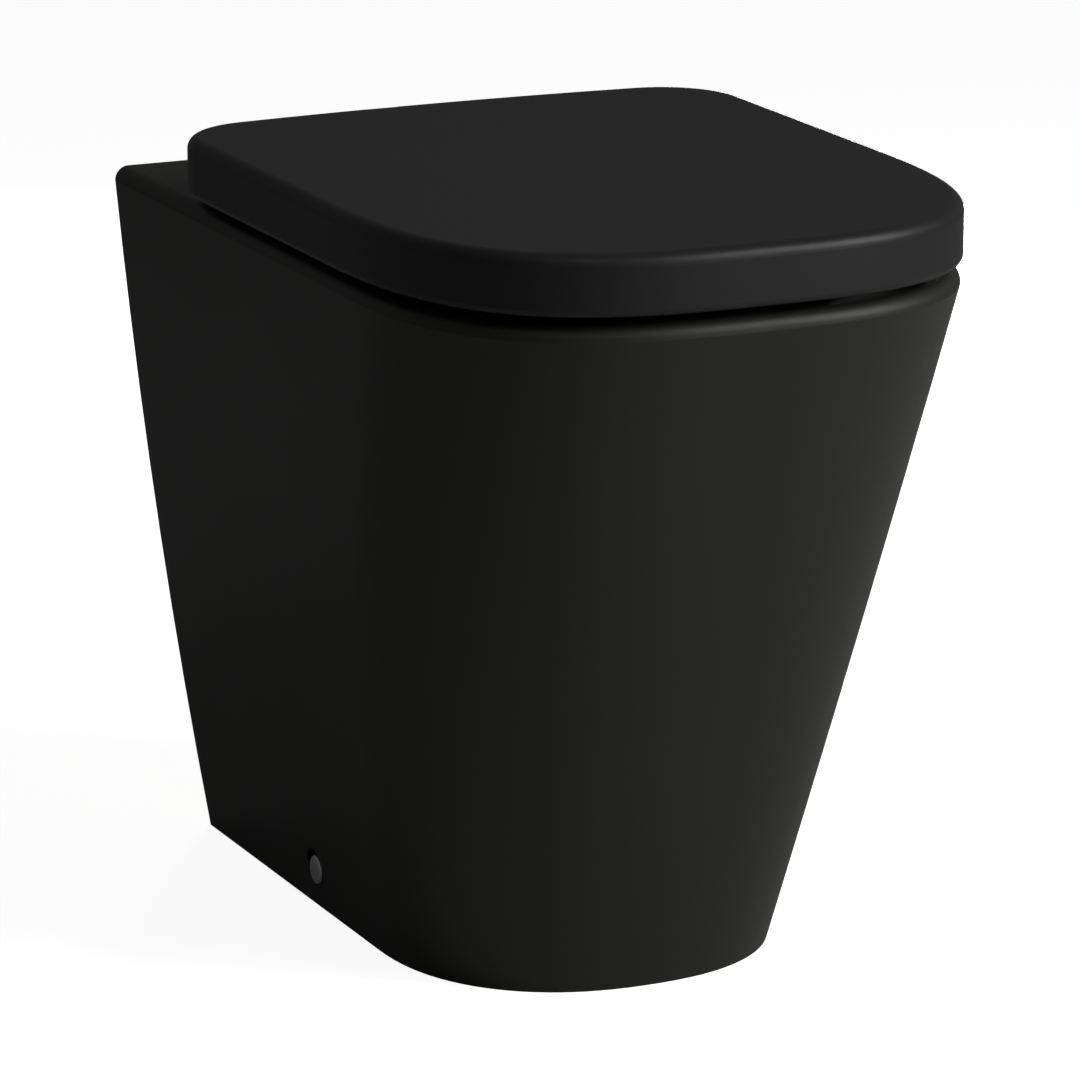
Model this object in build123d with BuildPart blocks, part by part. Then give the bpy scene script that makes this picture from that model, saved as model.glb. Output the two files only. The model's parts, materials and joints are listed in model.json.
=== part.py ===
from build123d import *
import math
import os

# A floor-standing toilet that backs on to a wall: one ceramic pan, a seat and a wrap-over lid on
# soft-close hinges, and the fixings that hold it to the floor. Millimetres, +Z up, the front
# faces -Y, and the origin is on the floor under the middle of the whole object's box.

# Pan, outside
pan_height = 440.0
pan_width = 360.0
pan_waist_width = 312.0
pan_foot_width = 244.4
pan_length = 546.5
pan_waist_length = 470.5
pan_foot_length = 403.0
rim_front_depth = 164.0
foot_front_depth = 125.5
rim_front_power = 2.38
rim_side_power = 2.95
foot_front_power = 2.24
foot_side_power = 2.27
rim_outer_round = 8.8
skirt_wall = 12.0
deck_thickness = 18.0

# Bowl and trap, inside
rim_side_land = 35.0
rim_front_land = 34.0
bowl_rear_from_wall = 163.0
bowl_widest_from_wall = 315.0
bowl_wall = 12.0
bowl_power = 2.35
rim_inner_round = 8.0
sump_radius = 42.0
sump_swell = 2.0
sump_from_wall = 335.0
trap_radius = 40.0
trap_wall = 10.0
trap_low_height = 95.0
trap_level_run = 45.0
trap_rise_angle = 60.0
trap_rise_run = 98.0
trap_fall_angle = 50.0
trap_bend = 50.0
trap_first_bend = 60.0

# Outlet and flush inlet
outlet_height = 180.0
outlet_radius = 51.0
outlet_spigot = 46.0
outlet_inset = 5.0
inlet_height = 335.0
inlet_radius = 27.5
inlet_socket = 50.0
inlet_inset = 12.0
inlet_wall = 10.0
flushway_radius = 21.0
flushway_run = 47.0
flushway_bend = 60.0
flushway_angle = 50.0
flushway_rise_run = 36.0

# Lid and seat
lid_overhang = 4.0
lid_side_overhang = 4.3
lid_gap = 6.0
lid_height = 36.0
lid_wall = 6.5
lid_front_depth = 219.0
lid_front_power = 2.9
lid_side_power = 3.02
lid_rear_corner = 54.0
lid_rear_bow = 11.0
lid_top_round = 7.5
lid_lower_round = 4.0
lid_rear_cut = 10.0
seat_gap = 3.0
seat_rear_gap = 10.0
seat_thickness = 21.0
seat_top_round = 8.0
seat_inner_round = 9.0
seat_hole_width = 230.0
seat_hole_front_land = 61.0
seat_hole_length = 290.0
seat_hole_widest = 145.0
seat_rim = 9.0
seat_recess = 11.0

# Hinges
hinge_spacing = 155.0
hinge_from_wall = 73.0
hinge_height = 28.0
lid_to_hinge = 13.0
knuckle_radius = 8.0
knuckle_length = 16.0
side_clearance = 0.5
pin_radius = 4.0
pin_fit = 0.02
pin_running_fit = 0.05
cartridge_radius = 6.0
cartridge_fit = 0.02
knuckle_end_wall = 2.0
post_radius = 9.0
post_neck = 4.0
adapter_radius = 22.0
adapter_thickness = 4.0
gasket_thickness = 1.0
collar_height = 8.0
collar_wall = 1.0
collar_fit = 0.1
deck_hole_radius = 7.5
seat_bolt_radius = 3.0
seat_bolt_length = 58.0
seat_bolt_head_radius = 5.0
seat_bolt_head = 6.0
sleeve_fit = 0.2
sleeve_swell = 2.0
sleeve_drop = 16.0
cone_height = 12.0

# Floor fixings
side_hole_radius = 12.0
side_hole_height = 28.0
side_hole_from_wall = 188.4
liner_radius = 9.7
liner_fit = 0.3
side_screw_radius = 3.0
side_screw_head_radius = 5.0
side_screw_head = 4.0
side_screw_length = 36.0
cap_radius = 9.0
cap_thickness = 2.5
cap_plug = 4.0
cap_plug_fit = 0.15
bracket_width = 40.0
bracket_height = 50.0
bracket_base = 46.0
bracket_thickness = 6.0
bracket_gap = 4.0
bracket_bolt_radius = 4.25
bracket_bolt_reach = 28.0

# Rubber buffers
buffer_radius = 10.0
buffer_stem_radius = 7.0
rest_gap = 0.3
seat_buffer_rear = (120.0, 140.0)
seat_buffer_front = (122.0, 480.0)
lid_buffer_place = (118.0, 470.0)

# Places that follow from the sizes above
lid_length_to_wall = pan_length + lid_overhang
wall_y = lid_length_to_wall / 2
front_y = wall_y - pan_length
hinge_y = wall_y - hinge_from_wall
hinge_z = pan_height + hinge_height
lid_bottom = pan_height + lid_gap
lid_top = lid_bottom + lid_height
lid_ceiling = lid_top - lid_wall
lid_rear_y = hinge_y - lid_to_hinge
seat_bottom = lid_bottom
seat_top = seat_bottom + seat_thickness
seat_inset = lid_wall + seat_gap
deck_underside = pan_height - deck_thickness
cap_z = side_hole_height - side_hole_radius + liner_radius + liner_fit
side_hole_y = wall_y - side_hole_from_wall


def through(foot, middle, top, share):
    """A smooth curve through three sizes, at share 0, a half and 1."""
    bend = 2 * foot - 4 * middle + 2 * top
    return foot + (top - foot - bend) * share + bend * share * share


def between(low, high, share):
    return low + (high - low) * share


def settle(share):
    """An S-shaped curve from 0 to 1 that starts and ends level."""
    return share * share * (3 - 2 * share)


def round_end(half_width, depth, side_power, end_power, steps=10):
    """Points of a rounded end, from the right flank over the tip to the left flank."""
    points = []
    for step in range(steps + 1):
        angle = math.pi * step / steps
        side = math.copysign(abs(math.cos(angle)) ** (2 / side_power), math.cos(angle))
        reach = abs(math.sin(angle)) ** (2 / end_power)
        points.append((half_width * side, depth * reach))
    points[0] = (half_width, 0.0)
    points[-1] = (-half_width, 0.0)
    return points


def front_spline(half_width, tip_y, depth, side_power, end_power):
    base_y = tip_y + depth
    points = [(x, base_y - y) for x, y in round_end(half_width, depth, side_power, end_power)]
    return Spline(*points, tangents=((0, -1), (0, 1)), tangent_scalars=(1, 1))


def skirt_share(z):
    """How far up the flank a height is, from 0 at the floor to 1 where the rim's edge starts."""
    return min(1.0, z / (pan_height - rim_outer_round))


def skirt_half_width(z):
    return through(pan_foot_width, pan_waist_width, pan_width, skirt_share(z)) / 2


def skirt_section(z, inset=0.0, back=0.0):
    """The pan's plan outline at one height, inset by a wall, with its flat back moved by back."""
    share = skirt_share(z)
    half_width = skirt_half_width(z) - inset
    length = through(pan_foot_length, pan_waist_length, pan_length, share)
    depth = between(foot_front_depth, rim_front_depth, share) - inset
    tip_y = wall_y - length + inset
    side_power = between(foot_side_power, rim_side_power, share)
    front_power = between(foot_front_power, rim_front_power, share)
    with BuildSketch(Plane.XY.offset(z)) as section:
        with BuildLine():
            front_spline(half_width, tip_y, depth, side_power, front_power)
            start_y = tip_y + depth
            back_y = wall_y + back
            left = (-half_width, start_y)
            right = (half_width, start_y)
            Polyline(left, (-half_width, back_y), (half_width, back_y), right)
        make_face()
    return section.sketch.face()


def egg(z, half_width, tip_y, widest_y, rear_y, power):
    """An egg-shaped section with its widest place at widest_y."""
    with BuildSketch(Plane.XY.offset(z)) as section:
        with BuildLine():
            front_spline(half_width, tip_y, widest_y - tip_y, power, power)
            rear = round_end(half_width, rear_y - widest_y, power, power)
            points = [(x, widest_y + y) for x, y in rear]
            Spline(*points, tangents=((0, 1), (0, -1)), tangent_scalars=(1, 1))
        make_face()
    return section.sketch.face()


def bowl_section(z, grow=0.0):
    """The bowl at one height: from a round sump to the egg-shaped opening in the rim."""
    spread = settle((z - trap_low_height) / (pan_height - trap_low_height))
    sump_y = wall_y - sump_from_wall
    half_width = between(sump_radius, pan_width / 2 - rim_side_land, spread) + grow
    tip_y = between(sump_y - sump_radius, front_y + rim_front_land, spread) - grow
    rear_y = between(sump_y + sump_radius, wall_y - bowl_rear_from_wall, spread) + grow
    widest_y = between(sump_y, wall_y - bowl_widest_from_wall, spread)
    return egg(z, half_width, tip_y, widest_y, rear_y, between(2.0, bowl_power, spread))


def heights(low, high, count):
    return [between(low, high, step / (count - 1)) for step in range(count)]


def round_over(top, radius, steps=3):
    """Heights up to a top face and the insets there that make its edge a quarter round."""
    angles = [math.pi / 2 * step / steps for step in range(steps + 1)]
    return [(top - radius + radius * math.sin(a), radius * (1 - math.cos(a))) for a in angles]


def trap_line():
    """The centre line of the trap: level out of the sump, up over the weir and down to the outlet."""
    rise = math.radians(trap_rise_angle)
    fall = math.radians(trap_fall_angle)
    start = (wall_y - sump_from_wall, trap_low_height)
    climbed = trap_first_bend * (1 - math.cos(rise)) + trap_rise_run * math.sin(rise)
    crown = trap_low_height + climbed + trap_bend * (1 - math.cos(rise))
    drop = crown - outlet_height - 2 * trap_bend * (1 - math.cos(fall))
    with BuildLine(Plane.YZ) as line:
        level = Line(start, (start[0] + trap_level_run, start[1]))
        first = JernArc(level @ 1, level % 1, trap_first_bend, trap_rise_angle)
        climb = PolarLine(first @ 1, trap_rise_run, trap_rise_angle)
        over = JernArc(climb @ 1, climb % 1, trap_bend, -(trap_rise_angle + trap_fall_angle))
        down = PolarLine(over @ 1, drop / math.sin(fall), -trap_fall_angle)
        last = JernArc(down @ 1, down % 1, trap_bend, trap_fall_angle)
        Line(last @ 1, (wall_y - outlet_inset, outlet_height))
    return line.line


def flush_line():
    """The centre line of the flushway, from the inlet socket up to the bowl's rear wall."""
    socket_y = wall_y - inlet_inset - inlet_socket
    with BuildLine(Plane.YZ) as line:
        level = Line((socket_y, inlet_height), (socket_y - flushway_run, inlet_height))
        bend = JernArc(level @ 1, level % 1, flushway_bend, -flushway_angle)
        PolarLine(bend @ 1, flushway_rise_run, 180 - flushway_angle)
    return line.line


def tube(path, radius, mode=Mode.ADD):
    """A round bar along a path, in the part that is being built."""
    with BuildSketch(Plane(origin=path @ 0, z_dir=path % 0)) as ring:
        Circle(radius)
    sweep(sections=ring.sketch, path=path, mode=mode)


def both_sides(x):
    return ((-1, -x), (1, x))


# The ceramic casting: skirt, deck and rim, with the bowl, trap, flushway and outlet inside it
trap_path = trap_line()
flush_path = flush_line()
socket_plane = Plane(origin=(0, wall_y - inlet_inset, inlet_height), z_dir=(0, -1, 0))
spigot_plane = Plane(origin=(0, wall_y - outlet_inset, outlet_height), z_dir=(0, -1, 0))
sump_place = Location((0, wall_y - sump_from_wall, trap_low_height))

with BuildPart() as casting:
    loft(sections=[skirt_section(z) for z in heights(0, pan_height - rim_outer_round, 3)])
    loft(sections=[skirt_section(*step) for step in round_over(pan_height, rim_outer_round)])
    inner_heights = heights(0, deck_underside, 3)
    loft(sections=[skirt_section(z, skirt_wall, 5.0) for z in inner_heights], mode=Mode.SUBTRACT)
    bowl_heights = heights(trap_low_height, deck_underside + 4, 6)
    loft(sections=[bowl_section(z, bowl_wall) for z in bowl_heights])
    with Locations(sump_place):
        Sphere(sump_radius + sump_swell + bowl_wall)
    tube(trap_path, trap_radius + trap_wall)
    tube(flush_path, flushway_radius + inlet_wall)
    with BuildSketch(socket_plane):
        Circle(inlet_radius + inlet_wall)
    extrude(amount=inlet_socket)
    with BuildSketch(spigot_plane):
        Circle(outlet_radius)
    extrude(amount=outlet_spigot)
    bowl_top = pan_height - rim_inner_round
    loft(sections=[bowl_section(z) for z in heights(trap_low_height, bowl_top, 6)], mode=Mode.SUBTRACT)
    rim_steps = round_over(pan_height, rim_inner_round)
    loft(sections=[bowl_section(*step) for step in rim_steps], mode=Mode.SUBTRACT)
    with Locations(sump_place):
        Sphere(sump_radius + sump_swell, mode=Mode.SUBTRACT)
    tube(trap_path, trap_radius, Mode.SUBTRACT)
    tube(flush_path, flushway_radius, Mode.SUBTRACT)
    with BuildSketch(socket_plane):
        Circle(inlet_radius)
    extrude(amount=inlet_socket, mode=Mode.SUBTRACT)
    with Locations(*[(x, hinge_y, pan_height) for _, x in both_sides(hinge_spacing / 2)]):
        Hole(deck_hole_radius, depth=deck_thickness)
    for side, x in both_sides(pan_foot_width / 4):
        with BuildSketch(Plane(origin=(x, side_hole_y, side_hole_height), z_dir=(side, 0, 0))):
            Circle(side_hole_radius)
        extrude(amount=pan_width, mode=Mode.SUBTRACT)
casting.part.label = "pan_casting"


def lid_outline(z, inset=0.0, rear_inset=0.0):
    """The lid's plan outline at one height, inset all round, and further at the rear if asked."""
    half_width = pan_width / 2 + lid_side_overhang - inset
    tip_y = wall_y - lid_length_to_wall + inset
    rear_y = lid_rear_y - max(inset, rear_inset)
    with BuildSketch(Plane.XY.offset(z)) as outline:
        with BuildLine():
            front_spline(half_width, tip_y, lid_front_depth - inset, lid_side_power, lid_front_power)
            start_y = tip_y + lid_front_depth - inset
            corner_y = rear_y - lid_rear_bow
            Line((-half_width, start_y), (-half_width, corner_y))
            ThreePointArc((-half_width, corner_y), (0, rear_y), (half_width, corner_y))
            Line((half_width, corner_y), (half_width, start_y))
        make_face()
        fillet(outline.vertices().group_by(Axis.Y)[-1], lid_rear_corner - inset)
    return outline.sketch.face()


seat_knuckle_x = hinge_spacing / 2 + knuckle_length / 2 + side_clearance
lid_knuckle_x = hinge_spacing / 2 - knuckle_length / 2 - side_clearance - knuckle_length
seat_rear_inset = lid_wall + seat_rear_gap
seat_rear_y = lid_rear_y - seat_rear_inset
cartridge_length = knuckle_length - knuckle_end_wall


def knuckle(x, arm, mode=Mode.ADD):
    """One hinge knuckle with its arm, from x outwards, in the part that is being built."""
    with BuildSketch(Plane.YZ.offset(x)) as profile:
        with Locations((hinge_y, hinge_z)):
            Circle(knuckle_radius)
        with BuildLine():
            Polyline(*arm, close=True)
        make_face()
    extrude(profile.sketch, amount=knuckle_length, mode=mode)


lid_arm = [
    (hinge_y, hinge_z + knuckle_radius),
    (lid_rear_y - lid_wall, hinge_z + knuckle_radius),
    (lid_rear_y - lid_wall, hinge_z - knuckle_radius / 2),
    (hinge_y, hinge_z - knuckle_radius),
]
seat_arm = [
    (hinge_y, hinge_z + knuckle_radius),
    (seat_rear_y - seat_top_round, seat_top),
    (seat_rear_y - seat_top_round, seat_bottom + seat_recess),
    (hinge_y, hinge_z - knuckle_radius),
]

with BuildPart() as lid:
    extrude(lid_outline(lid_bottom), amount=lid_height)
    fillet(lid.faces().sort_by(Axis.Z)[-1].edges(), lid_top_round)
    fillet(lid.faces().sort_by(Axis.Z)[0].edges(), lid_lower_round)
    extrude(lid_outline(lid_bottom, lid_wall), amount=lid_height - lid_wall, mode=Mode.SUBTRACT)
    for side, x in both_sides(seat_knuckle_x):
        with BuildSketch(Plane.XY.offset(lid_bottom)):
            with Locations((x + side * knuckle_length / 2, lid_rear_y)):
                Rectangle(knuckle_length + 2 * side_clearance, 4 * lid_wall)
        extrude(amount=lid_height - lid_wall, mode=Mode.SUBTRACT)
    with BuildSketch(Plane.XY.offset(lid_bottom)):
        with Locations((0, lid_rear_y)):
            Rectangle(2 * (seat_knuckle_x + knuckle_length + side_clearance), 4 * lid_wall)
    extrude(amount=lid_rear_cut, mode=Mode.SUBTRACT)
    knuckle(lid_knuckle_x, lid_arm)
    knuckle(-lid_knuckle_x - knuckle_length, lid_arm)
    with BuildSketch(Plane.YZ.offset(-hinge_spacing)):
        with Locations((hinge_y, hinge_z)):
            Circle(cartridge_radius + cartridge_fit)
    extrude(amount=2 * hinge_spacing, mode=Mode.SUBTRACT)
lid.part.label = "lid"

seat_tip_y = wall_y - lid_length_to_wall + seat_inset
hole_tip_y = seat_tip_y + seat_hole_front_land


def seat_hole(z, grow=0.0):
    return egg(
        z,
        seat_hole_width / 2 + grow,
        hole_tip_y - grow,
        hole_tip_y + seat_hole_widest,
        hole_tip_y + seat_hole_length + grow,
        bowl_power,
    )


with BuildPart() as seat:
    extrude(lid_outline(seat_bottom, seat_inset, seat_rear_inset), amount=seat_thickness)
    fillet(seat.faces().sort_by(Axis.Z)[-1].edges(), seat_top_round)
    extrude(seat_hole(seat_bottom), amount=seat_thickness, mode=Mode.SUBTRACT)
    loft(sections=[seat_hole(*step) for step in round_over(seat_top, seat_inner_round)], mode=Mode.SUBTRACT)
    recess = lid_outline(seat_bottom, seat_inset + seat_rim, seat_rear_inset + seat_rim)
    recess = recess - seat_hole(seat_bottom, seat_rim)
    extrude(recess, amount=seat_recess, mode=Mode.SUBTRACT)
    knuckle(seat_knuckle_x, seat_arm)
    knuckle(-seat_knuckle_x - knuckle_length, seat_arm)
    for side, x in both_sides(seat_knuckle_x):
        with BuildSketch(Plane(origin=(x, hinge_y, hinge_z), z_dir=(side, 0, 0))):
            Circle(cartridge_radius + cartridge_fit)
        extrude(amount=cartridge_length, mode=Mode.SUBTRACT)
seat.part.label = "seat_ring"

# Hinge pieces, made for the right side and mirrored for the left
hinge_x = hinge_spacing / 2
gasket_top = pan_height + gasket_thickness
adapter_top = gasket_top + adapter_thickness
collar_bore = seat_bolt_head_radius + side_clearance / 2
collar_radius = collar_bore + collar_wall
deck_centre = (hinge_x, hinge_y)

with BuildPart() as gasket:
    with BuildSketch(Plane.XY.offset(pan_height)):
        with Locations(deck_centre):
            Circle(adapter_radius)
            Circle(seat_bolt_radius + collar_wall, mode=Mode.SUBTRACT)
    extrude(amount=gasket_thickness)

with BuildPart() as adapter:
    with BuildSketch(Plane.XY.offset(gasket_top)):
        with Locations(deck_centre):
            Circle(adapter_radius)
    extrude(amount=adapter_thickness)
    chamfer(adapter.faces().sort_by(Axis.Z)[-1].edges(), adapter_thickness / 4)
    with BuildSketch(Plane.XY.offset(adapter_top)):
        with Locations(deck_centre):
            Circle(collar_radius)
            Circle(collar_bore, mode=Mode.SUBTRACT)
    extrude(amount=collar_height)
    with BuildSketch(Plane.XY.offset(gasket_top)):
        with Locations(deck_centre):
            Circle(seat_bolt_radius + collar_fit)
    extrude(amount=adapter_thickness, mode=Mode.SUBTRACT)

with BuildPart() as post:
    with BuildSketch(Plane.XY.offset(adapter_top)):
        with Locations(deck_centre):
            Circle(post_radius)
    extrude(amount=hinge_z - knuckle_radius - post_neck - adapter_top)
    with BuildSketch(Plane.YZ.offset(hinge_x - knuckle_length / 2)):
        with Locations((hinge_y, hinge_z)):
            Circle(knuckle_radius)
        with Locations((hinge_y, hinge_z - knuckle_radius)):
            Rectangle(2 * knuckle_radius - 2, 2 * knuckle_radius)
    extrude(amount=knuckle_length)
    with BuildSketch(Plane.XY.offset(adapter_top)):
        with Locations(deck_centre):
            Circle(collar_radius + collar_fit)
    extrude(amount=collar_height + side_clearance, mode=Mode.SUBTRACT)
    with BuildSketch(Plane.YZ.offset(hinge_x - knuckle_length)):
        with Locations((hinge_y, hinge_z)):
            Circle(pin_radius + pin_fit)
    extrude(amount=2 * knuckle_length, mode=Mode.SUBTRACT)

pin_start = lid_knuckle_x - side_clearance - knuckle_end_wall
pin_end = seat_knuckle_x + cartridge_length - side_clearance
with BuildPart() as pin:
    with BuildSketch(Plane.YZ.offset(pin_start)):
        with Locations((hinge_y, hinge_z)):
            Circle(cartridge_radius)
    extrude(amount=knuckle_end_wall)
    with BuildSketch(Plane.YZ.offset(pin_start)):
        with Locations((hinge_y, hinge_z)):
            Circle(pin_radius)
    extrude(amount=pin_end - pin_start)
    chamfer(pin.faces().sort_by(Axis.X)[-1].edges(), pin_radius / 6)


def cartridge(x, length):
    """A hollow cylinder round the hinge pin: a soft-close damper or its plain twin."""
    with BuildPart() as piece:
        with BuildSketch(Plane.YZ.offset(x)):
            with Locations((hinge_y, hinge_z)):
                Circle(cartridge_radius)
                Circle(pin_radius + pin_running_fit, mode=Mode.SUBTRACT)
        extrude(amount=length)
    return piece.part


seat_cartridge = cartridge(seat_knuckle_x, cartridge_length)
lid_cartridge = cartridge(lid_knuckle_x, knuckle_length)

sleeve_radius = deck_hole_radius - sleeve_fit
sleeve_bore = seat_bolt_radius + collar_fit
bulge_z = deck_underside - sleeve_drop / 2
sleeve_foot = deck_underside - sleeve_drop
with BuildPart() as expanding_sleeve:
    with BuildSketch(Plane.XZ.offset(-hinge_y)):
        with BuildLine():
            Polyline(
                (hinge_x + sleeve_bore, pan_height),
                (hinge_x + sleeve_radius, pan_height),
                (hinge_x + sleeve_radius, deck_underside),
                (hinge_x + sleeve_radius + sleeve_swell, bulge_z),
                (hinge_x + sleeve_radius, sleeve_foot),
                (hinge_x + sleeve_bore + sleeve_swell, sleeve_foot),
                (hinge_x + sleeve_bore, bulge_z),
                close=True,
            )
        make_face()
    revolve(axis=Axis((hinge_x, hinge_y, 0), (0, 0, 1)))

with BuildPart() as seat_bolt:
    with BuildSketch(Plane.XY.offset(adapter_top)):
        with Locations(deck_centre):
            Circle(seat_bolt_head_radius)
    extrude(amount=seat_bolt_head)
    with BuildSketch(Plane.XY.offset(adapter_top + seat_bolt_head)):
        with Locations(deck_centre):
            RegularPolygon(seat_bolt_radius * 0.9, 6)
    extrude(amount=-seat_bolt_head / 2, mode=Mode.SUBTRACT)
    with BuildSketch(Plane.XY.offset(adapter_top)):
        with Locations(deck_centre):
            Circle(seat_bolt_radius)
    extrude(amount=-seat_bolt_length)
    chamfer(seat_bolt.faces().sort_by(Axis.Z)[0].edges(), seat_bolt_radius / 4)

with BuildPart() as bolt_cone:
    with BuildSketch(Plane.XZ.offset(-hinge_y)):
        with BuildLine():
            Polyline(
                (hinge_x + sleeve_bore, sleeve_foot + cone_height / 4),
                (hinge_x + sleeve_bore + sleeve_swell / 2, sleeve_foot),
                (hinge_x + sleeve_radius, sleeve_foot - side_clearance),
                (hinge_x + sleeve_radius, sleeve_foot - cone_height),
                (hinge_x + sleeve_bore, sleeve_foot - cone_height),
                close=True,
            )
        make_face()
    revolve(axis=Axis((hinge_x, hinge_y, 0), (0, 0, 1)))

# Floor fixings, made for the right side and mirrored for the left
cap_face_x = skirt_half_width(cap_z)
liner_end = cap_face_x - cap_thickness / 2
bracket_x = skirt_half_width(0) - skirt_wall - bracket_gap
liner_start = bracket_x + side_clearance
cap_plug_radius = side_screw_head_radius + collar_wall

with BuildPart() as liner:
    with BuildSketch(Plane.YZ.offset(liner_start)):
        with Locations((side_hole_y, cap_z)):
            Circle(liner_radius)
            Circle(side_screw_radius + liner_fit, mode=Mode.SUBTRACT)
    extrude(amount=liner_end - liner_start)
    with BuildSketch(Plane.YZ.offset(liner_end)):
        with Locations((side_hole_y, cap_z)):
            Circle(cap_plug_radius + cap_plug_fit)
    extrude(amount=-(cap_plug + side_screw_head + side_clearance), mode=Mode.SUBTRACT)

with BuildPart() as side_cap:
    with BuildSketch(Plane.YZ.offset(liner_end)):
        with Locations((side_hole_y, cap_z)):
            Circle(cap_radius)
    extrude(amount=cap_thickness)
    chamfer(side_cap.faces().sort_by(Axis.X)[-1].edges(), cap_thickness / 4)
    with BuildSketch(Plane.YZ.offset(liner_end)):
        with Locations((side_hole_y, cap_z)):
            Circle(cap_plug_radius)
    extrude(amount=-cap_plug)

screw_seat_x = liner_end - cap_plug - side_screw_head - side_clearance
with BuildPart() as side_screw:
    with BuildSketch(Plane.YZ.offset(screw_seat_x)):
        with Locations((side_hole_y, cap_z)):
            Circle(side_screw_head_radius)
    extrude(amount=side_screw_head)
    with BuildSketch(Plane.YZ.offset(screw_seat_x)):
        with Locations((side_hole_y, cap_z)):
            Circle(side_screw_radius)
    extrude(amount=-side_screw_length)

bracket_start_y = side_hole_y - bracket_width / 2
with BuildPart() as bracket:
    with BuildSketch(Plane.XZ.offset(-bracket_start_y)):
        with BuildLine():
            Polyline(
                (bracket_x, 0),
                (bracket_x, bracket_height),
                (bracket_x - bracket_thickness, bracket_height),
                (bracket_x - bracket_thickness, bracket_thickness),
                (bracket_x - bracket_base, bracket_thickness),
                (bracket_x - bracket_base, 0),
                close=True,
            )
        make_face()
    extrude(amount=-bracket_width)
    for rib_y in (bracket_start_y, bracket_start_y + bracket_width - bracket_thickness / 2):
        with BuildSketch(Plane.XZ.offset(-rib_y)):
            with BuildLine():
                Polyline(
                    (bracket_x - bracket_thickness, bracket_thickness),
                    (bracket_x - bracket_thickness, bracket_height),
                    (bracket_x - bracket_base, bracket_thickness),
                    close=True,
                )
            make_face()
        extrude(amount=-bracket_thickness / 2)
    with BuildSketch(Plane.YZ.offset(bracket_x)):
        with Locations((side_hole_y, cap_z)):
            Circle(side_screw_radius + collar_fit)
    extrude(amount=-bracket_thickness, mode=Mode.SUBTRACT)
    with BuildSketch(Plane.XY):
        with Locations((bracket_x - bracket_bolt_reach, side_hole_y)):
            Circle(bracket_bolt_radius)
    extrude(amount=bracket_thickness, mode=Mode.SUBTRACT)


# Rubber buffers
def place(spot, side):
    across, from_wall = spot
    return (side * across, wall_y - from_wall)


with BuildPart() as seat_buffers:
    for spot in (seat_buffer_rear, seat_buffer_front):
        for side in (-1, 1):
            with BuildSketch(Plane.XY.offset(pan_height + rest_gap)):
                with Locations(place(spot, side)):
                    Circle(buffer_radius)
            extrude(amount=lid_gap - rest_gap)
            with BuildSketch(Plane.XY.offset(seat_bottom)):
                with Locations(place(spot, side)):
                    Circle(buffer_stem_radius)
            extrude(amount=seat_recess)
seat_buffers.part.label = "seat_buffers"

with BuildPart() as lid_buffers:
    for side in (-1, 1):
        with BuildSketch(Plane.XY.offset(lid_ceiling)):
            with Locations(place(lid_buffer_place, side)):
                Circle(buffer_radius)
        extrude(amount=seat_top + rest_gap - lid_ceiling)
lid_buffers.part.label = "lid_buffers"

os.makedirs("parts", exist_ok=True)


def save(shape, label):
    shape.label = label
    export_step(shape, f"parts/{label}.step")


save(casting.part, "pan_casting")
save(lid.part, "lid")
save(seat.part, "seat_ring")
save(seat_buffers.part, "seat_buffers")
save(lid_buffers.part, "lid_buffers")

right_pieces = {
    "hinge_gasket": gasket.part,
    "hinge_adapter": adapter.part,
    "hinge_post": post.part,
    "hinge_pin": pin.part,
    "expanding_sleeve": expanding_sleeve.part,
    "seat_bolt": seat_bolt.part,
    "bolt_cone": bolt_cone.part,
    "side_liner": liner.part,
    "side_cap": side_cap.part,
    "side_screw": side_screw.part,
    "floor_bracket": bracket.part,
}
for name, piece in right_pieces.items():
    save(piece, f"{name}_right")
    save(piece.mirror(Plane.YZ), f"{name}_left")

save(seat_cartridge.mirror(Plane.YZ), "seat_damper")
save(seat_cartridge, "seat_bush")
save(lid_cartridge, "lid_damper")
save(lid_cartridge.mirror(Plane.YZ), "lid_bush")
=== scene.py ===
# %% [markdown]
# # A matt black back-to-wall toilet
# The whole object comes in as a fixed frame of real-size parts: a ceramic pan, a seat and a lid on
# soft-close hinges, and their fixings. Here it gets its finishes and its finest details, a plain
# studio round it, and a camera where the photographer stood. Everything is in metres, +Z is up,
# and the toilet's front faces -Y.

# %% Load the parts
import json
import math
import bmesh
import bpy
from mathutils import Matrix, Vector


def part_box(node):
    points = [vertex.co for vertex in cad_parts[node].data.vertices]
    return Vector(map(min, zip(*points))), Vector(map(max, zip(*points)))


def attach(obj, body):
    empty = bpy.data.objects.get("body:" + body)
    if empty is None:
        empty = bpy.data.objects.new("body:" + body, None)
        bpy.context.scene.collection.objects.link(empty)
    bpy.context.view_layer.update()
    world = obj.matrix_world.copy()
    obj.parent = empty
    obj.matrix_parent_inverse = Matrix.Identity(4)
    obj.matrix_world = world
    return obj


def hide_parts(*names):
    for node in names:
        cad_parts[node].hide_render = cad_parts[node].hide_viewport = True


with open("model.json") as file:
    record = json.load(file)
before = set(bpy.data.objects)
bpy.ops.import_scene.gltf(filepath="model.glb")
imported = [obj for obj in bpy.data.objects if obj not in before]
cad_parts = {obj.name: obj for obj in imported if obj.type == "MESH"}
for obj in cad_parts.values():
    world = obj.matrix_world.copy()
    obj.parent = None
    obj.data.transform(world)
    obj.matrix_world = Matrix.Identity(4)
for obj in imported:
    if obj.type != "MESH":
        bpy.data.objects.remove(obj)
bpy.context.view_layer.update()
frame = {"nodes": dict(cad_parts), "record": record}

nodes = frame["nodes"]

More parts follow.
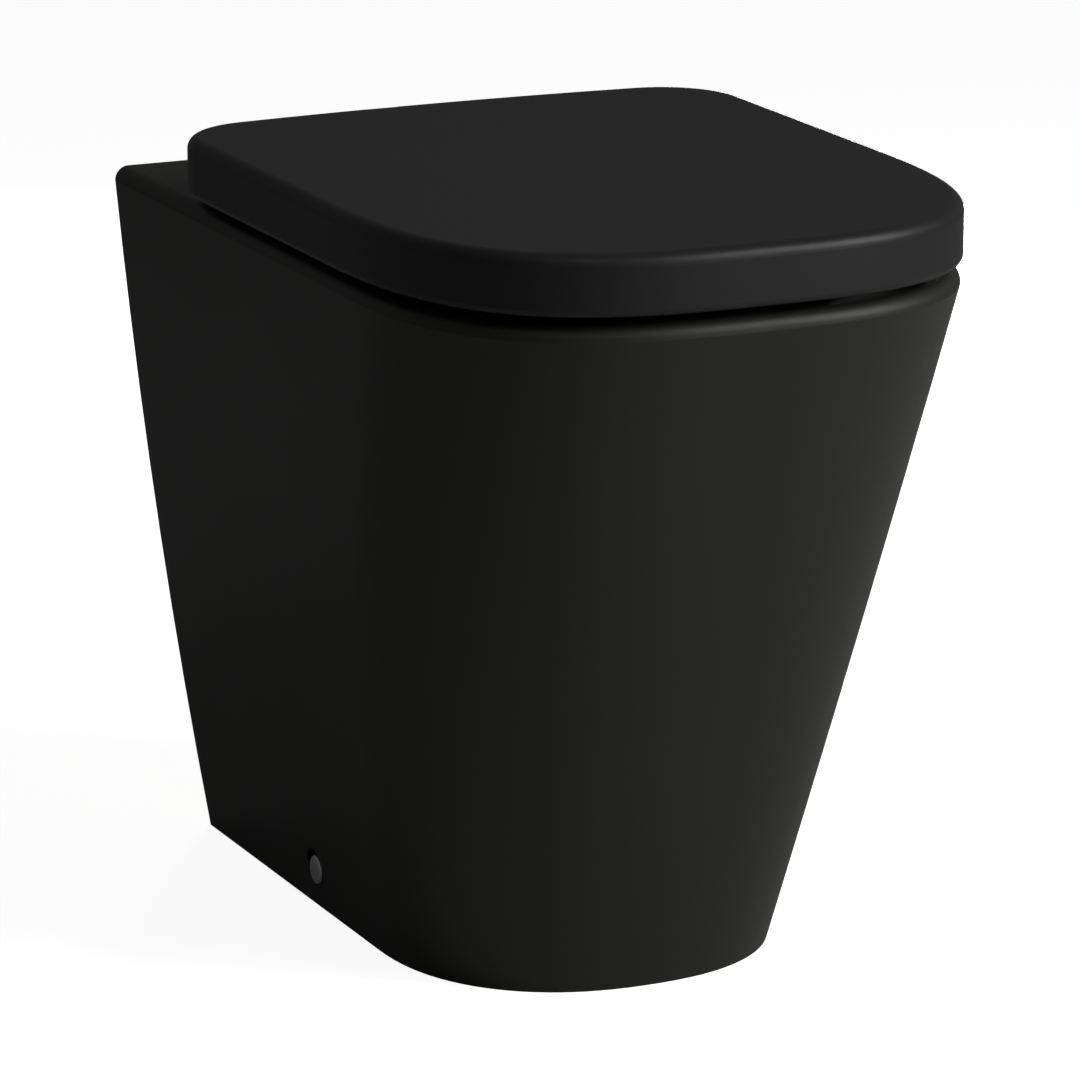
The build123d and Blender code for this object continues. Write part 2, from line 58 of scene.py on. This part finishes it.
# %% [markdown]
# ## Helpers
# Colours are easiest to read as sRGB hex, which is what a colour picker shows, but shaders add up
# light, so one function turns them to linear values. One more function adds a shader node, sets it
# up and wires it, so that every material below reads as a short recipe. A third turns the real
# size of a speck or a cloud in millimetres into the scale of a noise pattern.

# %% Helpers for colours and nodes
MM = 0.001


def linear(hex_colour):
    """An sRGB hex colour such as "#2a2a29" as linear RGBA."""
    channels = [int(hex_colour[i:i + 2], 16) / 255 for i in (1, 3, 5)]
    return [c / 12.92 if c <= 0.04045 else ((c + 0.055) / 1.055) ** 2.4 for c in channels] + [1.0]


def add(tree, kind, settings=None, **inputs):
    """Adds a shader node. settings are its own properties. inputs are its sockets, by name with _
    for a space or by number as n0, n1: each a value, a socket or a node, whose first output counts."""
    node = tree.nodes.new(kind)
    for name, value in (settings or {}).items():
        setattr(node, name, value)
    for name, value in inputs.items():
        numbered = name[0] == "n" and name[1:].isdigit()
        socket = node.inputs[int(name[1:]) if numbered else name.replace("_", " ")]
        if isinstance(value, bpy.types.Node):
            value = value.outputs[0]
        if isinstance(value, bpy.types.NodeSocket):
            tree.links.new(value, socket)
        else:
            socket.default_value = value
    return node


def grains(size_mm):
    """The noise scale that makes one blob about this many millimetres wide."""
    return 1 / (size_mm * MM)


def new_material(name, roughness, specular=0.5, metallic=0.0):
    """An empty material: its tree, its surface shader and the coordinates that ride with the object."""
    material = bpy.data.materials.new(name)
    material.use_nodes = True
    tree = material.node_tree
    tree.nodes.clear()
    shader = add(tree, "ShaderNodeBsdfPrincipled", Roughness=roughness, Metallic=metallic)
    shader.inputs["Specular IOR Level"].default_value = specular
    add(tree, "ShaderNodeOutputMaterial", Surface=shader)
    place = add(tree, "ShaderNodeTexCoord").outputs["Object"]
    return material, tree, shader, place


print("black as written:", [round(c, 4) for c in linear("#262625")])

# %% [markdown]
# ## Where the glaze stops
# The pan is white vitreous china under a matt black glaze. The glaze is sprayed on everything that
# a person sees: the flanks, the rim and the inside of the bowl. The hollow behind the flanks stays
# bare. Painting that border by hand would need a picture; instead the material works it out from
# the same sizes that the pan was drawn with, so the border follows the shape exactly. A number
# that is 1 on the outline and less inside it tells the outer wall from its inner face. The flank's
# half width and the place of its front tip each have a size at the foot, grow with the rise to the
# rim, and bend a little with the rise squared.

# %% The outline of the flanks as a number
glaze, tree, glaze_shader, place = new_material("matt black glaze on vitreous china", 0.45, 0.4)
xyz = add(tree, "ShaderNodeSeparateXYZ", Vector=place)
x, y, z = (xyz.outputs[axis] for axis in "XYZ")
side = add(tree, "ShaderNodeMath", {"operation": "ABSOLUTE"}, n0=x)
rim_start, glazed_deck, inner_face = 431.2 * MM, 430 * MM, 0.9
rise = add(tree, "ShaderNodeMapRange", Value=z, From_Max=rim_start)
flank_sizes = {"half": (122.2, 77.4, -19.6), "tip": (-127.75, -126.5, -17.0)}
flank = {}
for name, (at_foot, slope, bend) in flank_sizes.items():
    growth = add(tree, "ShaderNodeMath", {"operation": "MULTIPLY_ADD"},
                 n0=rise, n1=bend * MM, n2=slope * MM)
    flank[name] = add(tree, "ShaderNodeMath", {"operation": "MULTIPLY_ADD"},
                      n0=growth, n1=rise, n2=at_foot * MM)
nose = add(tree, "ShaderNodeMapRange", Value=rise, To_Min=125.5 * MM, To_Max=164 * MM)
start = add(tree, "ShaderNodeMath", {"operation": "ADD"}, n0=flank["tip"], n1=nose)
ahead = add(tree, "ShaderNodeMath", {"operation": "SUBTRACT"}, n0=start, n1=y)
ahead = add(tree, "ShaderNodeMath", {"operation": "DIVIDE"}, n0=ahead, n1=nose)
ahead = add(tree, "ShaderNodeMath", {"operation": "MAXIMUM"}, n0=ahead, n1=0.0)
across = add(tree, "ShaderNodeMath", {"operation": "DIVIDE"}, n0=side, n1=flank["half"])
side_power = add(tree, "ShaderNodeMapRange", Value=rise, To_Min=2.27, To_Max=2.95)
front_power = add(tree, "ShaderNodeMapRange", Value=rise, To_Min=2.24, To_Max=2.38)
across = add(tree, "ShaderNodeMath", {"operation": "POWER"}, n0=across, n1=side_power)
ahead = add(tree, "ShaderNodeMath", {"operation": "POWER"}, n0=ahead, n1=front_power)
outline = add(tree, "ShaderNodeMath", {"operation": "ADD"}, n0=across, n1=ahead)
outside = add(tree, "ShaderNodeMath", {"operation": "GREATER_THAN"}, n0=outline, n1=inner_face)
on_deck = add(tree, "ShaderNodeMath", {"operation": "GREATER_THAN"}, n0=z, n1=glazed_deck)
print("nodes for the flanks:", len(tree.nodes))

# %% [markdown]
# The bowl is an egg that grows from a round sump to the opening in the rim. Its sizes follow an
# S-shaped curve up the height, which a Map Range node gives when it is set to Smooth Step. Six
# millimetres are added all round, half the wall's thickness, so the border lies inside the china.
# The trap and the flushway are tubes, so a point is inside one when it is near enough to its axis.
# Each tube is given by a point on its axis, its direction, its radius and its stretch from front
# to back, and the black ends a little way in, where nobody can see.

# %% The inside of the bowl and the ends of the two tubes
bowl_floor, egg_power = 48 * MM, 2.3
egg_sizes = {"half": (48, 151), "front": (48, 203.5), "rear": (48, 158), "widest": (-59.75, -39.75)}
egg = {
    name: add(tree, "ShaderNodeMapRange", {"interpolation_type": "SMOOTHSTEP"}, Value=z,
              From_Min=95 * MM, From_Max=440 * MM, To_Min=low * MM, To_Max=high * MM)
    for name, (low, high) in egg_sizes.items()
}
back = add(tree, "ShaderNodeMath", {"operation": "SUBTRACT"}, n0=y, n1=egg["widest"])
front = add(tree, "ShaderNodeMath", {"operation": "MULTIPLY"}, n0=back, n1=-1.0)
back = add(tree, "ShaderNodeMath", {"operation": "DIVIDE"}, n0=back, n1=egg["rear"])
front = add(tree, "ShaderNodeMath", {"operation": "DIVIDE"}, n0=front, n1=egg["front"])
along = add(tree, "ShaderNodeMath", {"operation": "MAXIMUM"}, n0=back, n1=front)
wide = add(tree, "ShaderNodeMath", {"operation": "DIVIDE"}, n0=side, n1=egg["half"])
along = add(tree, "ShaderNodeMath", {"operation": "POWER"}, n0=along, n1=egg_power)
wide = add(tree, "ShaderNodeMath", {"operation": "POWER"}, n0=wide, n1=egg_power)
in_bowl = add(tree, "ShaderNodeMath", {"operation": "ADD"}, n0=along, n1=wide)
in_bowl = add(tree, "ShaderNodeMath", {"operation": "LESS_THAN"}, n0=in_bowl, n1=1.0)
above = add(tree, "ShaderNodeMath", {"operation": "GREATER_THAN"}, n0=z, n1=bowl_floor)
in_bowl = add(tree, "ShaderNodeMath", {"operation": "MULTIPLY"}, n0=in_bowl, n1=above)
glazed = add(tree, "ShaderNodeMath", {"operation": "MAXIMUM"}, n0=outside, n1=on_deck)
glazed = add(tree, "ShaderNodeMath", {"operation": "MAXIMUM"}, n0=glazed, n1=in_bowl)
bores = {
    "trap, from the sump": ((0, 0, 95), (0, 1, 0), 46, (-60, -14)),
    "trap, at the outlet": ((0, 240, 180), (0, 1, 0), 46, (200, 280)),
    "flushway, mouth": ((0, 97, 384), (0, -0.643, 0.766), 23, (50, 130)),
    "flushway, bend": ((0, 140, 341), (0, -0.906, 0.423), 23, (125, 155)),
    "flushway, level run": ((0, 182, 335), (0, 1, 0), 23, (150, 214)),
}
for point, direction, radius, (from_y, to_y) in bores.values():
    start = [value * MM for value in point]
    away = add(tree, "ShaderNodeVectorMath", {"operation": "SUBTRACT"}, n0=place, n1=start)
    away = add(tree, "ShaderNodeVectorMath", {"operation": "CROSS_PRODUCT"}, n0=away, n1=direction)
    away = add(tree, "ShaderNodeVectorMath", {"operation": "LENGTH"}, n0=away).outputs["Value"]
    inside = add(tree, "ShaderNodeMath", {"operation": "LESS_THAN"}, n0=away, n1=radius * MM)
    middle, reach = (from_y + to_y) / 2 * MM, (to_y - from_y) / 2 * MM
    near = add(tree, "ShaderNodeMath", {"operation": "COMPARE"}, n0=y, n1=middle, n2=reach)
    inside = add(tree, "ShaderNodeMath", {"operation": "MULTIPLY"}, n0=inside, n1=near)
    glazed = add(tree, "ShaderNodeMath", {"operation": "MAXIMUM"}, n0=glazed, n1=inside)
print("nodes for the glaze's border:", len(tree.nodes))

# %% [markdown]
# ## Matt black glaze
# A matt glaze is glass full of fine crystals, so it has no mirror in it: highlights spread wide and
# soft. Its base is nearly black, and most of what the eye sees is that soft reflection. The tone
# drifts a little over a hand's width, where the spray lay thicker. The crystals are about 0.3 mm
# apart; that is finer than one pixel here, so they are drawn at 1.2 mm and very shallow. Bare
# china is chalky and off-white, with a mist of glaze near the open back and the foot.

# %% Colour, sheen and grain of the glaze
cloud = add(tree, "ShaderNodeTexNoise", Vector=place, Scale=grains(90), Detail=3.0)
black = add(tree, "ShaderNodeMix", {"data_type": "RGBA"}, n0=cloud,
            n6=linear("#30302c"), n7=linear("#363632"))
chalk = add(tree, "ShaderNodeTexNoise", Vector=place, Scale=grains(22), Detail=5.0)
china = add(tree, "ShaderNodeMix", {"data_type": "RGBA"}, n0=chalk,
            n6=linear("#bcb5a8"), n7=linear("#d9d4c9"))
mist = add(tree, "ShaderNodeMapRange", Value=z, From_Min=60 * MM, From_Max=0.0)
mist = add(tree, "ShaderNodeMath", {"operation": "MULTIPLY"}, n0=mist, n1=chalk)
china = add(tree, "ShaderNodeMix", {"data_type": "RGBA"}, n0=mist,
            n6=china.outputs[2], n7=linear("#4a4845"))
colour = add(tree, "ShaderNodeMix", {"data_type": "RGBA"}, n0=glazed,
             n6=china.outputs[2], n7=black.outputs[2])
tree.links.new(colour.outputs[2], glaze_shader.inputs["Base Color"])
sheen = add(tree, "ShaderNodeMapRange", Value=cloud, To_Min=0.43, To_Max=0.49)
rough = add(tree, "ShaderNodeMix", n0=glazed, n2=0.92, n3=sheen)
tree.links.new(rough.outputs[0], glaze_shader.inputs["Roughness"])
crystals = add(tree, "ShaderNodeTexNoise", Vector=place, Scale=grains(1.2), Detail=2.0)
bump = add(tree, "ShaderNodeBump", Height=crystals, Strength=0.12, Distance=0.05 * MM)
tree.links.new(bump.outputs[0], glaze_shader.inputs["Normal"])
print("nodes in the glaze:", len(tree.nodes))

# %% [markdown]
# ## Matt duroplast
# The lid and the seat are pressed from urea resin powder in a hot steel mould. The mould is
# blasted, which leaves an even matt skin, and the resin is dyed through, so its black is flat and
# neutral, a shade cooler than the glaze. The skin is a little closer and smoother than the glaze,
# so the highlight along the lid's edge is tighter.

# %% Material of the lid and the seat
duroplast, tree, shader, place = new_material("matt black duroplast", 0.42, 0.4)
cloud = add(tree, "ShaderNodeTexNoise", Vector=place, Scale=grains(120), Detail=2.0)
black = add(tree, "ShaderNodeMix", {"data_type": "RGBA"}, n0=cloud,
            n6=linear("#282828"), n7=linear("#2d2d2d"))
tree.links.new(black.outputs[2], shader.inputs["Base Color"])
sheen = add(tree, "ShaderNodeMapRange", Value=cloud, To_Min=0.41, To_Max=0.45)
tree.links.new(sheen.outputs[0], shader.inputs["Roughness"])
blasting = add(tree, "ShaderNodeTexNoise", Vector=place, Scale=grains(0.9), Detail=1.0)
bump = add(tree, "ShaderNodeBump", Height=blasting, Strength=0.1, Distance=0.04 * MM)
tree.links.new(bump.outputs[0], shader.inputs["Normal"])
print("duroplast ready")

# %% [markdown]
# ## Rubber and plastics
# The buffers and gaskets are soft black rubber, which is dull and slightly grey. The side liners
# are moulded black nylon. The floor brackets and the expanding sleeves are nylon too, natural and
# milky, with the faint flow lines that the melt leaves where it runs along the wall.


# %% Rubber, black nylon and natural nylon
def moulded(name, dark, light, roughness, flow_mm, grain_mm, depth_mm):
    """A moulded plastic or rubber: a slow drift of tone, stretched along X, and a fine grain."""
    material, tree, shader, place = new_material(name, roughness)
    stretched = add(tree, "ShaderNodeVectorMath", {"operation": "MULTIPLY"}, n0=place, n1=(0.3, 1, 1))
    flow = add(tree, "ShaderNodeTexNoise", Vector=stretched, Scale=grains(flow_mm), Detail=2.0)
    tone = add(tree, "ShaderNodeMix", {"data_type": "RGBA"}, n0=flow,
               n6=linear(dark), n7=linear(light))
    tree.links.new(tone.outputs[2], shader.inputs["Base Color"])
    grain = add(tree, "ShaderNodeTexNoise", Vector=place, Scale=grains(grain_mm), Detail=1.0)
    bump = add(tree, "ShaderNodeBump", Height=grain, Strength=0.2, Distance=depth_mm * MM)
    tree.links.new(bump.outputs[0], shader.inputs["Normal"])
    return material


rubber = moulded("soft black rubber", "#1d1d1d", "#262626", 0.78, 15, 0.8, 0.06)
black_nylon = moulded("black nylon", "#161616", "#1c1c1c", 0.5, 12, 0.7, 0.03)
natural_nylon = moulded("natural nylon", "#c4c1b4", "#d8d6cc", 0.48, 18, 0.9, 0.03)
print("moulded materials:", rubber.name, black_nylon.name, natural_nylon.name)

# %% [markdown]
# ## Metals
# The hinge posts are chrome plated: bright, with only the slow waviness of a polished casting,
# about 90 mm from crest to crest. The pins and bolts are turned stainless steel, and the clamping
# cones turned brass; turning leaves rings round the axis, which spread the highlight. The real
# rings are a tenth of a millimetre apart, far too fine to show here, so they are drawn as soft
# bands 4 to 5 mm wide. The side caps are satin plated: as pale as the chrome, but with a wide,
# soft highlight. A wave pattern repeats every 2 pi / 20 units at a scale of 1, which is how the
# spacing in millimetres becomes its scale.


# %% Chrome, steel, brass and the satin plate
def turned(name, colour, roughness, ring_mm, depth_mm, axis):
    """A metal turned or brushed in rings: bands along the axis of turning, and a little tarnish."""
    material, tree, shader, place = new_material(name, roughness, metallic=1.0)
    tarnish = add(tree, "ShaderNodeTexNoise", Vector=place, Scale=grains(9), Detail=3.0)
    tone = add(tree, "ShaderNodeMix", {"data_type": "RGBA"}, n0=tarnish,
               n6=[c * 0.86 for c in linear(colour)[:3]] + [1.0], n7=linear(colour))
    tree.links.new(tone.outputs[2], shader.inputs["Base Color"])
    worn = add(tree, "ShaderNodeMapRange", Value=tarnish, To_Min=roughness * 0.85,
               To_Max=roughness * 1.2)
    tree.links.new(worn.outputs[0], shader.inputs["Roughness"])
    rings = add(tree, "ShaderNodeTexWave", {"wave_type": "BANDS", "bands_direction": axis},
                Vector=place, Scale=grains(ring_mm) * math.pi / 10, Distortion=0.6, Detail=2.0)
    bump = add(tree, "ShaderNodeBump", Height=rings.outputs["Fac"], Strength=0.25,
               Distance=depth_mm * MM)
    tree.links.new(bump.outputs[0], shader.inputs["Normal"])
    return material


chrome = turned("bright chrome plate", "#dcdde0", 0.09, 87.96, 0.01, "Z")
steel = turned("turned stainless steel", "#b9b8b4", 0.3, 5.027, 0.02, "Z")
brass = turned("turned brass", "#c9a765", 0.3, 5.027, 0.02, "Z")
satin = turned("satin plated cap", "#e6e7e8", 0.36, 4.398, 0.01, "X")
print("metals:", chrome.name, steel.name, brass.name, satin.name)

# %% [markdown]
# ## Every part gets its finish
# The record names a material slot for each part, so one table carries the finishes over.

# %% Hand out the finishes
finishes = {
    "ceramic": glaze,
    "duroplast": duroplast,
    "rubber": rubber,
    "black_plastic": black_nylon,
    "bracket": natural_nylon,
    "satin_cap": satin,
    "chrome": chrome,
    "steel": steel,
    "brass": brass,
}
slots = {row["node"]: row["material_slot"] for row in frame["record"]["subparts"]}
for name, part in nodes.items():
    part.data.materials.clear()
    part.data.materials.append(finishes[slots[name]])
print("finished parts:", len(nodes), "in", len(set(slots.values())), "finishes")

# %% [markdown]
# ## Turned pieces
# Caps, bolts and screws are round, so each is a profile spun round its axis. A profile is a list
# of (distance along the axis, radius) in millimetres, as a lathe drawing gives it. A third number
# makes that ring a polygon with so many sides, which is how a hex socket is drawn. A thread is a
# ridge that climbs one pitch per turn. A Screw modifier would wind it too, but it would leave the
# ridge as a loose skin pushed into the shank. Here it shares its points with the turn above it and
# with the plain rings at its ends, so the whole screw is one closed skin.


# %% A helper that winds a thread
def wind(work, first, second, low, high, root, crest, pitch):
    """Fills the space between two rings of points with a helical ridge."""
    steps = len(first)
    turns = int((high - low) / pitch) - 2
    last = turns * steps
    flank = ((0.25, 0.0), (0.44, 1.0), (0.56, 1.0), (0.75, 0.0))

    def point(count, up, share):
        angle = 2 * math.pi * count / steps
        fade = max(0.0, min(1.0, count / steps, (last - count) / steps))
        radius = (root + (crest - root) * share * fade) * MM
        along = (low + pitch * (0.2 + count / steps + up)) * MM
        return work.verts.new((radius * math.cos(angle), radius * math.sin(angle), along))

    valley = [point(count, 0.0, 0.0) for count in range(last + steps + 1)]
    ridge = [[point(count, up, share) for up, share in flank] for count in range(last + 1)]
    for count in range(last):
        here = [valley[count]] + ridge[count] + [valley[count + steps]]
        there = [valley[count + 1]] + ridge[count + 1] + [valley[count + steps + 1]]
        for row in range(5):
            work.faces.new((here[row], there[row], there[row + 1], here[row + 1]))
    for step in range(steps):
        after = (step + 1) % steps
        seam = [valley[0]] + ridge[0] if after == 0 else []
        work.faces.new([first[step], first[after]] + seam + [valley[step + 1], valley[step]])
        seam = [valley[last + steps]] + ridge[last][::-1] if step == 0 else []
        start, end = valley[last + step], valley[last + step + 1]
        work.faces.new([start, end, second[after], second[step]] + seam)


# %% A helper that spins a profile
def lathe(name, profile, centre, direction, finish, turns=64, thread=None):
    """Spins a profile round an axis that starts at centre. thread is (index, crest, pitch): the
    stretch after the ring with that index is threaded."""
    mesh = bpy.data.meshes.new(name)
    work = bmesh.new()
    rings = []
    for along, radius, *sides in profile:
        if radius < 1e-6:
            rings.append([work.verts.new((0, 0, along * MM))])
            continue
        ring = []
        for turn in range(turns):
            angle = 2 * math.pi * turn / turns
            if sides:
                half = math.pi / sides[0]
                reach = radius * math.cos(half) / math.cos(angle % (2 * half) - half)
            else:
                reach = radius
            ring.append(work.verts.new(
                (reach * MM * math.cos(angle), reach * MM * math.sin(angle), along * MM)))
        rings.append(ring)
    for index, (first, second) in enumerate(zip(rings, rings[1:])):
        if thread and index == thread[0]:
            (low, root), (high, _) = profile[index][:2], profile[index + 1][:2]
            wind(work, first, second, low, high, root, thread[1], thread[2])
            continue
        for turn in range(turns):
            corners = [first[turn % len(first)], first[(turn + 1) % len(first)],
                       second[(turn + 1) % len(second)], second[turn % len(second)]]
            work.faces.new(list(dict.fromkeys(corners)))
    bmesh.ops.recalc_face_normals(work, faces=work.faces)
    work.to_mesh(mesh)
    work.free()
    for face in mesh.polygons:
        face.use_smooth = True
    mesh.set_sharp_from_angle(angle=math.radians(35))
    piece = bpy.data.objects.new(name, mesh)
    bpy.context.scene.collection.objects.link(piece)
    turned_to = Vector(direction).to_track_quat("Z", "Y").to_matrix().to_4x4()
    mesh.transform(Matrix.Translation(Vector(centre)) @ turned_to)
    mesh.materials.append(finish)
    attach(piece, "pan")
    return piece


print("lathe ready")

# %% [markdown]
# ## Side caps
# A plated cap hides the screw that holds the pan to its floor bracket. It is pressed from thin
# sheet: a slight crown, a rolled edge and a plug behind it. The crown is what makes it catch the
# light along one side in the photograph. It is a quarter of an ellipse, spun round in nine steps.

# %% The two side caps
low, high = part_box("side_cap_right")
cap_radius, cap_face = (high.z - low.z) / 2 / MM, high.x / MM
cap_y, cap_height = (low.y + high.y) / 2, (low.z + high.z) / 2
crown, crown_steps, plug_radius = 0.8, 9, 6.0
crown_foot, crown_radius = cap_face - crown, cap_radius - 0.5
plug, flange = low.x / MM, crown_foot - 1.7
cap_profile = [
    (plug, 0.0), (plug, plug_radius - 0.3), (plug + 0.3, plug_radius), (flange, plug_radius),
    (flange, cap_radius - 0.2), (flange + 0.2, cap_radius), (flange + 1.0, cap_radius),
    (flange + 1.45, cap_radius - 0.15), (crown_foot, crown_radius),
]
for step in range(1, crown_steps):
    angle = step / crown_steps * math.pi / 2
    cap_profile.append((crown_foot + crown * math.sin(angle), crown_radius * math.cos(angle)))
cap_profile.append((cap_face, 0.0))
for name, sign in (("right", 1), ("left", -1)):
    cap = lathe(f"pressed_cap_{name}", cap_profile, (0, cap_y, cap_height), (sign, 0, 0),
                satin)
    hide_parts(f"side_cap_{name}")
print("cap radius in mm:", round(cap_radius, 2), "crown in mm:", crown)

# %% [markdown]
# ## Seat bolts
# The seat bolts hang below the deck, where they can be seen from behind. They are M6 machine
# screws, so the pitch is 1 mm, with a hex socket in the head. The thread could be a bump in the
# material, but its outline would stay straight, so it is real.

# %% Threaded seat bolts
low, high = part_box("seat_bolt_right")
bolt_x, bolt_y = (low.x + high.x) / 2, (low.y + high.y) / 2
foot, top = low.z / MM, high.z / MM
head, bolt_pitch = 6.0, 1.0
under_head = top - head
bolt_profile = [
    (foot, 0.0), (foot, 1.9), (foot + 0.5, 2.39), (under_head - 9, 2.39), (under_head - 8.4, 3.0),
    (under_head, 3.0), (under_head, 4.8), (under_head + 0.2, 5.0), (top - 0.6, 5.0),
    (top, 4.5), (top, 3.0), (top - 0.25, 2.7, 6), (top - 3.0, 2.7, 6), (top - 3.0, 0.0),
]
for name, sign in (("right", 1), ("left", -1)):
    bolt = lathe(f"threaded_bolt_{name}", bolt_profile, (sign * bolt_x, bolt_y, 0), (0, 0, 1),
                 steel, turns=24, thread=(2, 3.0, bolt_pitch))
    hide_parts(f"seat_bolt_{name}")
print("seat bolt from", round(foot, 1), "to", round(top, 1), "mm, pitch in mm:", bolt_pitch)

# %% [markdown]
# ## Side screws
# Each side screw goes sideways through the skirt's liner into the floor bracket. It bites into
# plastic, so its thread is coarser and ends in a point. The same lathe makes it, lying on its side.

# %% Threaded side screws
low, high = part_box("side_screw_right")
screw_y, screw_z = (low.y + high.y) / 2, (low.z + high.z) / 2
tip, back = low.x / MM, high.x / MM
screw_head, screw_pitch = 4.0, 2.0
neck = back - screw_head
screw_profile = [
    (tip, 0.0), (tip + 0.4, 0.9), (tip + 2.5, 2.0), (neck - 4, 2.0), (neck - 3, 3.0),
    (neck, 3.0), (neck, 4.8), (neck + 0.2, 5.0), (back - 1.2, 5.0), (back - 0.4, 4.6),
    (back, 3.7), (back, 2.9), (back - 0.25, 2.5, 6), (back - 2.4, 2.5, 6), (back - 2.4, 0.0),
]
for name, sign in (("right", 1), ("left", -1)):
    screw = lathe(f"threaded_screw_{name}", screw_profile, (0, screw_y, screw_z), (sign, 0, 0),
                  steel, turns=24, thread=(2, 3.0, screw_pitch))
    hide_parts(f"side_screw_{name}")
print("side screw", round(back - tip, 1), "mm long, pitch in mm:", screw_pitch)

# %% [markdown]
# ## Camera
# The camera stands a little to the left of the front and a little above the lid, far back with a
# long lens, as a product photographer places it: far enough that the sides hardly converge. Its
# place came from fitting the photograph's outline.

# %% Camera
camera_data = bpy.data.cameras.new("camera")
camera = bpy.data.objects.new("camera", camera_data)
bpy.context.scene.collection.objects.link(camera)
bpy.context.scene.camera = camera
camera.location = (-1.49634, -3.21473, 1.19486)
target = Vector((-0.03801, -0.05248, 0.26155))
camera.rotation_euler = (target - camera.location).to_track_quat("-Z", "Y").to_euler()
camera_data.sensor_width = 36.0
camera_data.lens = 201.68
print("camera distance:", round((target - camera.location).length, 2), "m")

# %% [markdown]
# ## Studio
# A matt black thing shows the room more than its own colour. The photograph's room is bright to
# the front right and nearly dark on the camera's side: that is what draws the soft line along the
# lid's front edge and leaves the near corner black. Each softbox below stands where a part of that
# pattern comes from, but for a small one low behind, which only lights the open back for the other
# views. They are given by compass angle from the front, and by height in degrees.


# %% Softboxes
def softbox(name, angle, height, watts, size=1.0, distance=2.4):
    """A square area light round the toilet, aimed at its middle, that the camera doesn't see."""
    light = bpy.data.lights.new(name, "AREA")
    light.energy = watts
    light.shape = "SQUARE"
    light.size = size
    lamp = bpy.data.objects.new(name, light)
    around, up = math.radians(angle), math.radians(height)
    flat = distance * math.cos(up)
    middle = Vector((0, 0, 0.3))
    lamp.location = middle + Vector((flat * math.sin(around), -flat * math.cos(around),
                                     distance * math.sin(up)))
    lamp.rotation_euler = (middle - lamp.location).to_track_quat("-Z", "Y").to_euler()
    lamp.visible_camera = False
    bpy.context.scene.collection.objects.link(lamp)
    return lamp


lamps = [
    softbox("key_front_right", 44, 33, 26, 1.3),
    softbox("low_front", 30, 8, 2.4),
    softbox("high_left", -25, 58, 1.2, 0.8),
    softbox("rear_low", 150, -3, 15, 0.4, 2.2),
]
print("softboxes:", len(lamps), "total watts:", round(sum(lamp.data.energy for lamp in lamps), 1))

# %% [markdown]
# The backdrop and the floor read as white in the picture. The world is white to the camera and
# through glass; polished parts see it at about a tenth, because a matt black surface in a fully
# white room would turn grey along every grazing edge, which it doesn't in the photograph. The
# floor adds a white glow for the camera to its own lit colour, so that it stays just short of
# white where the pan shades it. To everything else it is a pale grey that bounces soft light up.

# %% Backdrop
room_in_polish, room_light = 0.09, 0.012
world = bpy.data.worlds.new("studio")
bpy.context.scene.world = world
world.use_nodes = True
tree = world.node_tree
tree.nodes.clear()
ray = add(tree, "ShaderNodeLightPath").outputs
seen = add(tree, "ShaderNodeMath", {"operation": "MAXIMUM"},
           n0=ray["Is Camera Ray"], n1=ray["Is Transmission Ray"])
seen = add(tree, "ShaderNodeMath", {"operation": "MULTIPLY_ADD"},
           n0=ray["Is Glossy Ray"], n1=room_in_polish, n2=seen)
strength = add(tree, "ShaderNodeMath", {"operation": "MAXIMUM"}, n0=seen, n1=room_light)
white = add(tree, "ShaderNodeBackground", Color=(1, 1, 1, 1), Strength=strength)
add(tree, "ShaderNodeOutputWorld", Surface=white)
print("room seen in polished parts:", room_in_polish)

# %% Floor
floor_glow, floor_in_polish = 0.92, 0.02
floor_material, tree, shader, place = new_material("pale studio floor", 1.0, 0.0)
speckle = add(tree, "ShaderNodeTexNoise", Vector=place, Scale=grains(6), Detail=2.0)
ray = add(tree, "ShaderNodeLightPath").outputs
seen = add(tree, "ShaderNodeMath", {"operation": "MAXIMUM"},
           n0=ray["Is Camera Ray"], n1=ray["Is Transmission Ray"])
pale = add(tree, "ShaderNodeMix", {"data_type": "RGBA"}, n0=speckle,
           n6=linear("#f2f2f2"), n7=linear("#ffffff"))
bounce = add(tree, "ShaderNodeMix", {"data_type": "RGBA"}, n0=seen,
             n6=linear("#cfcfcf"), n7=pale.outputs[2])
tree.links.new(bounce.outputs[2], shader.inputs["Base Color"])
glow = add(tree, "ShaderNodeMath", {"operation": "MULTIPLY"}, n0=seen, n1=floor_glow)
glow = add(tree, "ShaderNodeMath", {"operation": "MULTIPLY_ADD"},
           n0=ray["Is Glossy Ray"], n1=floor_in_polish, n2=glow)
shader.inputs["Emission Color"].default_value = (1, 1, 1, 1)
tree.links.new(glow.outputs[0], shader.inputs["Emission Strength"])
bpy.ops.mesh.primitive_plane_add(size=12, location=(0, 0, 0))
floor = bpy.context.object
floor.name = "floor"
floor.data.materials.append(floor_material)
print("floor ready, glow:", floor_glow)

# %% [markdown]
# ## Finish
# The Standard view keeps the colours as they were written.

# %% View
bpy.context.scene.view_settings.view_transform = "Standard"
